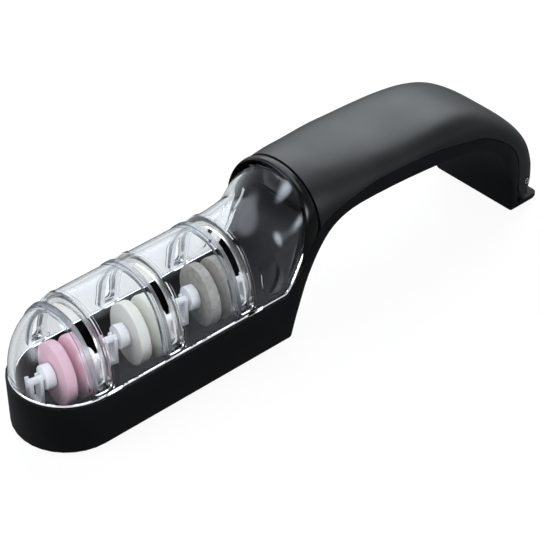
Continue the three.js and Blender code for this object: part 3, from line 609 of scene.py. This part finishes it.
def gripPoint(u, v):
    if u <= grip["tipFrom"]:
        share = u / grip["tipFrom"]
        # the mouth is the seam line's sixth point, and the heel's top is twelve points on
        along = (5 + share * 12) / (len(partingLine) - 1)
        foot, crown = splinePoint(partingLine, along), splinePoint(crownLine, share)
        foot = foot + (crown - foot).normalized() * whole["gap"]
        half = whole["halfWidth"] + (whole["heelHalfWidth"] - whole["halfWidth"]) * share
        power = grip["roundFront"] + (grip["roundHeel"] - grip["roundFront"]) * share
        sink = grip["sink"] * min(1, share / grip["sinkFrom"])
    else:
        turn = (u - grip["tipFrom"]) / (1 - grip["tipFrom"]) * math.pi / 2 * grip["tipTurn"]
        z = whole["pinZ"] - whole["knuckleDepth"] * math.sin(turn)
        foot = Vector((whole["pinX"] - whole["knuckleFront"] * math.cos(turn), z))
        crown = Vector((whole["pinX"] + whole["crownReach"] * math.cos(turn), z))
        half, power, sink = whole["heelHalfWidth"], grip["roundHeel"], grip["sink"]
    return archPoint(v, foot, crown, half, power, sink)


def buildGrip():
    shell = gridSheet("gripShell", grip["lengthSteps"], grip["archSteps"], gripPoint)
    activate(shell)
    bpy.ops.object.mode_set(mode="EDIT")
    bpy.ops.mesh.select_all(action="SELECT")
    bpy.ops.mesh.bisect(plane_co=at(whole["mouthX"], 0, 0), plane_no=(1, 0, 0), clear_inner=True)
    bpy.ops.object.mode_set(mode="OBJECT")
    thicken(shell, grip["wall"])
    squareEnd(shell, whole["mouthX"], -1)
    lowest = (whole["pinZ"] - whole["knuckleDepth"]) * mm
    for vertex in shell.data.vertices:
        if vertex.co.z < lowest:  # where the tongue closes, its wall belongs above its outside
            vertex.co.z = 2 * lowest - vertex.co.z
    deselectAll()
    top, bottom = grip["notchTop"], grip["notchBottom"]
    bpy.ops.mesh.primitive_cube_add(
        size=1, location=at(whole["pinX"] + grip["notchX"], 0, (top + bottom) / 2),
        scale=(grip["notchLength"] * mm, 2 * grip["notchHalf"] * mm, (top - bottom) * mm))
    cut(shell, settle(bpy.context.object, "notch"))
    deselectAll()
    bpy.ops.mesh.primitive_cylinder_add(
        vertices=32, radius=grip["pinHole"] * mm, depth=60 * mm,
        location=at(whole["pinX"], 0, whole["pinZ"]), rotation=(math.pi / 2, 0, 0))
    cut(shell, settle(bpy.context.object, "pinHole"))
    closeSeams(shell)
    smooth(shell, 40)
    return shell


dress(buildGrip(), "softGrip", gripSoft, "lid", "grip_grey", "grip_shell")
print("grip made")


# Collar round the mouth: a rounded bead, and the web behind the lid's tail

collar = {"length": 3.7, "wing": 4.4, "round": 0.8, "lipWall": 1.3, "lip": 1.9, "web": 3.9,
          "back": 121.3, "overlap": 0.2, "beadSteps": 24, "webSteps": 4, "archSteps": 96}


def mouthPoint(x, v, inset):
    # a point of the arch round the mouth, that many mm inside its outline
    foot = seatAt(x)
    leg = max(seatAt(whole["mouthX"]) - foot, 0) + whole["gap"]
    crown = whole["crownHeight"] - inset
    half = whole["halfWidth"] - inset
    return archPoint(v, (x, foot), (x, crown), half, grip["roundFront"], leg=leg)


def collarPoint(u, v):
    front = collar["back"] - collar["length"]
    reach = mouthPoint(front, v, 0).z / mm
    climb = (reach - seatAt(front)) / (whole["crownHeight"] - seatAt(front))
    climb = min(max(climb, 0), 1)
    wing = (1 - climb) ** 2 + 2 / 3 * climb * (1 - climb)  # its ends sweep forward at the foot
    start = front - collar["wing"] * wing
    x = start + (collar["back"] - start) * u
    roundOver = 1 - math.sqrt(max(0, 1 - (2 * u - 1) ** 2))  # half round across its length
    return mouthPoint(x, v, roundOver * collar["round"])


def webPoint(u, v):
    front = collar["back"] - collar["length"] + collar["lip"]
    inset = collar["lipWall"] - collar["overlap"]
    return mouthPoint(front + (collar["back"] - front) * u, v, inset)


def buildCollar():
    bead = gridSheet("bead", collar["beadSteps"], collar["archSteps"], collarPoint)
    thicken(bead, collar["lipWall"])
    web = gridSheet("web", collar["webSteps"], collar["archSteps"], webPoint)
    thicken(web, collar["web"] - collar["lipWall"] + collar["overlap"])
    cut(bead, web, "UNION")
    closeSeams(bead)
    smooth(bead, 35)
    return bead


dress(buildCollar(), "mouthCollar", blackGloss, "lid", "gloss_black", "mouth_collar")
print("collar made")


# Wheels, spun about their own axle and turned into place

wheel = {"yaw": -11, "height": 22, "bore": 3.3, "discRadius": 11.5, "face": 5.9, "inner": 0.2,
         "grooveHalf": 1.8, "grooveAngle": 16, "edge": 0.3, "core": 3, "boss": 4.45, "bossEnd": 9.8,
         "stub": 1.35, "stubEnd": 15.5, "gap": 0.3, "lip": 0.3, "rim": 0.6, "axleEdge": 0.25,
         "hubEdge": 0.3, "turnSteps": 64}


def seatWheel(piece, x):
    piece.rotation_euler = (0, 0, math.radians(wheel["yaw"]))
    piece.location = at(x, 0, wheel["height"])
    return settle(piece, piece.name)


def discOutline(side):
    lip = wheel["discRadius"] - wheel["lip"]
    slant = math.tan(math.radians(wheel["grooveAngle"]))
    root = lip - (wheel["grooveHalf"] - wheel["inner"]) / slant
    outline = [(wheel["bore"], wheel["inner"]), (root, wheel["inner"]), (lip, wheel["grooveHalf"]),
               (wheel["discRadius"], wheel["grooveHalf"] + wheel["rim"]),
               (wheel["discRadius"], wheel["face"]),
               (wheel["bore"], wheel["face"]), (wheel["bore"], wheel["inner"])]
    return [(r, side * x) for r, x in outline]


def axleOutline():
    boss, end = wheel["boss"], wheel["bossEnd"]
    return [(0, -wheel["stubEnd"]), (wheel["stub"], -wheel["stubEnd"]), (wheel["stub"], -end),
            (boss, -end), (boss, -wheel["face"] - wheel["gap"]),
            (wheel["core"], -wheel["face"] - wheel["gap"]), (wheel["core"], end - wheel["gap"]),
            (wheel["stub"], end - wheel["gap"]), (wheel["stub"], wheel["stubEnd"]),
            (0, wheel["stubEnd"])]


def hubOutline():
    start, end = wheel["face"] + wheel["gap"], wheel["bossEnd"]
    return [(wheel["bore"], start), (wheel["boss"], start), (wheel["boss"], end),
            (wheel["bore"], end), (wheel["bore"], start)]


models = {}
for part, outline, edge in (("front_disc", discOutline(-1), wheel["edge"]),
                            ("rear_disc", discOutline(1), wheel["edge"]),
                            ("axle", axleOutline(), wheel["axleEdge"]),
                           ("hub", hubOutline(), wheel["hubEdge"])):
    models[part] = turned(part, outline, wheel["turnSteps"])
    soften(models[part], edge, 25, 3)
    smooth(models[part], 30)
grades = (("fine", fineCeramic), ("medium", mediumCeramic), ("coarse", coarseCeramic))
for (grade, look), x in zip(grades, lid["stages"]):
    for part, model in models.items():
        words = part.split("_")
        name = grade + "".join(word.capitalize() for word in words)
        piece = seatWheel(copyOf(model, name), x)
        disc = words[-1] == "disc"
        dress(piece, name, look if disc else whiteAcetal, grade + "_wheels",
              grade + "_ceramic" if disc else "axle_white", grade + "_" + part)
    for side in ("front", "rear"):
        cradle = grade + "_" + side + "_cradle"
        dress(nodeCopy(cradle, 0.2), grade + side.capitalize() + "Cradle", whiteAcetal, "frame",
              "axle_white", cradle)
remove(*models.values())
print("wheels made")


# Pieces that keep the CAD shape, with rounded edges

dress(nodeCopy("base_frame", 0.4), "trayFrame", blackSatin, "frame", "frame_black", "base_frame")
dress(nodeCopy("heel_pin", 0.12), "heelPin", pinSteel, "frame", "pin_steel", "heel_pin")
dress(nodeCopy("mouth_bulkhead", 0), "mouthBulkhead", blackGloss, "lid", "gloss_black",
      "mouth_bulkhead")
for side in ("near", "far"):
    dress(nodeCopy("lid_screw_" + side, 0.15), "lidScrew" + side.capitalize(), pinSteel, "lid",
          "pin_steel", "lid_screw_" + side)
for place in ("front", "rear", "heel"):
    dress(nodeCopy(place + "_pad", 0.3), place + "Pad", padRubber, "frame", "pad_rubber",
          place + "_pad")
print("frame and small pieces made")


# Studio

def whiteFor(tree, inReflection=1.0):
    # 1 for what is seen straight or through the clear lid, and a share of it in a reflection
    path = addNode(tree, "ShaderNodeLightPath")
    mirrored = addNode(tree, "ShaderNodeMath", {"operation": "MULTIPLY"},
                       {0: path.outputs["Is Glossy Ray"]})
    mirrored.inputs[1].default_value = inReflection
    either = addNode(tree, "ShaderNodeMath", {"operation": "MAXIMUM"},
                     {0: path.outputs["Is Camera Ray"], 1: mirrored.outputs[0]})
    every = addNode(tree, "ShaderNodeMath", {"operation": "MAXIMUM"},
                    {0: either.outputs[0], 1: path.outputs["Is Transmission Ray"]})
    return every.outputs[0]


studio = {"ambient": 0.3, "zenith": 0.4, "front": 0.45, "inside": 2.2,
          "floorSize": 8, "floorHeight": -0.0004, "floorGlow": 0.93, "floorColour": "#6a6a6a",
          "floorGloss": 0.1, "lampPlace": (0.6, 0.6, 0.84), "lampSize": 1.1, "lampPower": 10.0}
# "across" and "along" are half axes, "even" is the share of the card that is evenly bright, and a
# card that doesn't light the object is there for its reflection only
softCards = [
    {"place": (-0.365, 0.08, 0.927), "across": (0.0, -0.26, 0.03), "along": (0.085, 0.0, 0.034),
     "strength": 13.0, "even": 0.0, "lights": True},
    {"place": (-0.06, -0.93, 0.36), "across": (-0.42, 0.0, 0.0), "along": (0.0, 0.12, 0.27),
     "strength": 11.0, "even": 0.1, "lights": False},
    {"place": (-0.85, 0.45, 0.28), "across": (0.2, 0.38, 0.0), "along": (0.0, 0.0, 0.25),
     "strength": 9.0, "even": 0.0, "lights": True},
    {"place": (0.22, 0.12, 0.95), "across": (0.28, -0.85, 0.0), "along": (0.27, 0.08, -0.03),
     "strength": 3.2, "even": 0.4, "lights": False}]


def makeFloor():
    deselectAll()
    bpy.ops.mesh.primitive_plane_add(size=studio["floorSize"],
                                     location=(0, 0, studio["floorHeight"]))
    floor = settle(bpy.context.object, "floor")
    material, tree, output, place = newMaterial("paleFloor")
    tree.nodes.remove(place.node)
    matt = addNode(tree, "ShaderNodeBsdfDiffuse", {"Color": linear(studio["floorColour"])})
    seen = addNode(tree, "ShaderNodeMath", {"operation": "MULTIPLY"},
                   {0: whiteFor(tree, studio["floorGloss"])})
    seen.inputs[1].default_value = studio["floorGlow"]
    glow = addNode(tree, "ShaderNodeEmission", {"Color": (1, 1, 1, 1)},
                   {"Strength": seen.outputs[0]})
    both = addNode(tree, "ShaderNodeAddShader")
    tree.links.new(matt.outputs[0], both.inputs[0])
    tree.links.new(glow.outputs[0], both.inputs[1])
    tree.links.new(both.outputs[0], output.inputs["Surface"])
    floor.data.materials.append(material)


def makeWorld():
    world = bpy.data.worlds.new("paleStudio")
    bpy.context.scene.world = world
    world.use_nodes = True
    tree = world.node_tree
    tree.nodes.clear()
    output = addNode(tree, "ShaderNodeOutputWorld")
    # white behind the object, greyer overhead and darker on the near side, as a studio is
    towards = addNode(tree, "ShaderNodeTexCoord").outputs["Generated"]
    height = addNode(tree, "ShaderNodeSeparateXYZ", links={"Vector": towards})
    ceiling = addNode(tree, "ShaderNodeMapRange",
                      {"From Min": 0.1, "From Max": 0.8, "To Min": 1.0, "To Max": studio["zenith"]},
                      {"Value": height.outputs["Z"]})
    behind = addNode(tree, "ShaderNodeVectorMath", {"operation": "DOT_PRODUCT"}, {0: towards})
    behind.inputs[1].default_value = (0.2, 0.98, 0)
    backdrop = addNode(tree, "ShaderNodeMapRange",
                       {"From Min": 0.1, "From Max": 0.8, "To Min": studio["front"], "To Max": 1.0},
                       {"Value": behind.outputs["Value"]})
    seen = addNode(tree, "ShaderNodeMath", {"operation": "MULTIPLY"},
                   {0: ceiling.outputs[0], 1: backdrop.outputs[0]})
    # light that reaches the pieces under the clear lid comes through it, and is even
    path = addNode(tree, "ShaderNodeLightPath")
    onPiece = addNode(tree, "ShaderNodeMath", {"operation": "GREATER_THAN"},
                      {0: path.outputs["Diffuse Depth"]})
    strength = addNode(tree, "ShaderNodeMix", {"data_type": "FLOAT"},
                       {"Factor": onPiece.outputs[0], "A": seen.outputs[0]})
    strength.inputs["B"].default_value = studio["inside"]
    level = addNode(tree, "ShaderNodeMapRange", {"To Min": studio["ambient"]},
                    {"Value": whiteFor(tree), "To Max": strength.outputs[0]})
    sky = addNode(tree, "ShaderNodeBackground", {"Color": (0.93, 0.97, 1, 1)},
                  {"Strength": level.outputs[0]})
    tree.links.new(sky.outputs[0], output.inputs["Surface"])


def makeLamp():
    # a square softbox behind the object, turned towards it
    deselectAll()
    bpy.ops.object.light_add(type="AREA", location=studio["lampPlace"])
    lamp = bpy.context.object
    lamp.name = "backSoftbox"
    lamp.data.shape = "SQUARE"
    lamp.data.size = studio["lampSize"]
    lamp.data.energy = studio["lampPower"]
    lamp.data.color = (0.93, 0.98, 1)
    lamp.rotation_euler = (-Vector(studio["lampPlace"])).to_track_quat("-Z", "Y").to_euler()


def softCard(name, place, across, along, strength, even, lights):
    # an ellipse whose light fades towards its edge
    deselectAll()
    bpy.ops.mesh.primitive_circle_add(vertices=48, radius=1, fill_type="NGON")
    card = bpy.context.object
    card.name = name
    across, along = Vector(across), Vector(along)
    turn = Matrix((across, along, across.cross(along).normalized())).transposed().to_4x4()
    turn.translation = place
    card.matrix_world = turn
    material, tree, output, spot = newMaterial(name)
    away = addNode(tree, "ShaderNodeVectorMath", {"operation": "LENGTH"}, {0: spot})
    fade = addNode(tree, "ShaderNodeMapRange",
                   {"interpolation_type": "SMOOTHSTEP", "From Min": even,
                    "To Min": 1.0, "To Max": 0.0},
                   {"Value": away.outputs["Value"]})
    glow = addNode(tree, "ShaderNodeEmission", {"Color": (0.95, 0.98, 1, 1), "Strength": strength})
    clear = addNode(tree, "ShaderNodeBsdfTransparent")
    both = addNode(tree, "ShaderNodeMixShader", links={0: fade.outputs[0], 1: clear.outputs[0],
                                                       2: glow.outputs[0]})
    tree.links.new(both.outputs[0], output.inputs["Surface"])
    card.data.materials.append(material)
    card.visible_camera = False  # it must not stand in the way of a view from its side
    card.visible_diffuse = lights


view = {"place": (-0.534471, -0.583041, 0.609840), "right": (0.7374576, -0.67538498, -0.00337914),
        "up": (0.40821372, 0.44173433, 0.79889445),
        "forward": (0.53806863, 0.59053019, -0.60146175),
        "sensorWidth": 36, "lens": 180.3, "nearest": 0.05, "farthest": 20}


def makeCamera():
    deselectAll()
    bpy.ops.object.camera_add()
    camera = bpy.context.object
    camera.name = "photoView"
    axes = (Vector(view["right"]), Vector(view["up"]), -Vector(view["forward"]))
    place = Matrix(axes).transposed().to_4x4()
    place.translation = Vector(view["place"])
    camera.matrix_world = place
    camera.data.sensor_width = view["sensorWidth"]
    camera.data.lens = view["lens"]
    camera.data.clip_start = view["nearest"]
    camera.data.clip_end = view["farthest"]
    bpy.context.scene.camera = camera


makeFloor()
makeWorld()
makeLamp()
for number, card in enumerate(softCards):
    softCard("softCard" + str(number + 1), **card)
makeCamera()
bpy.context.scene.view_settings.view_transform = "Standard"
print("studio made")
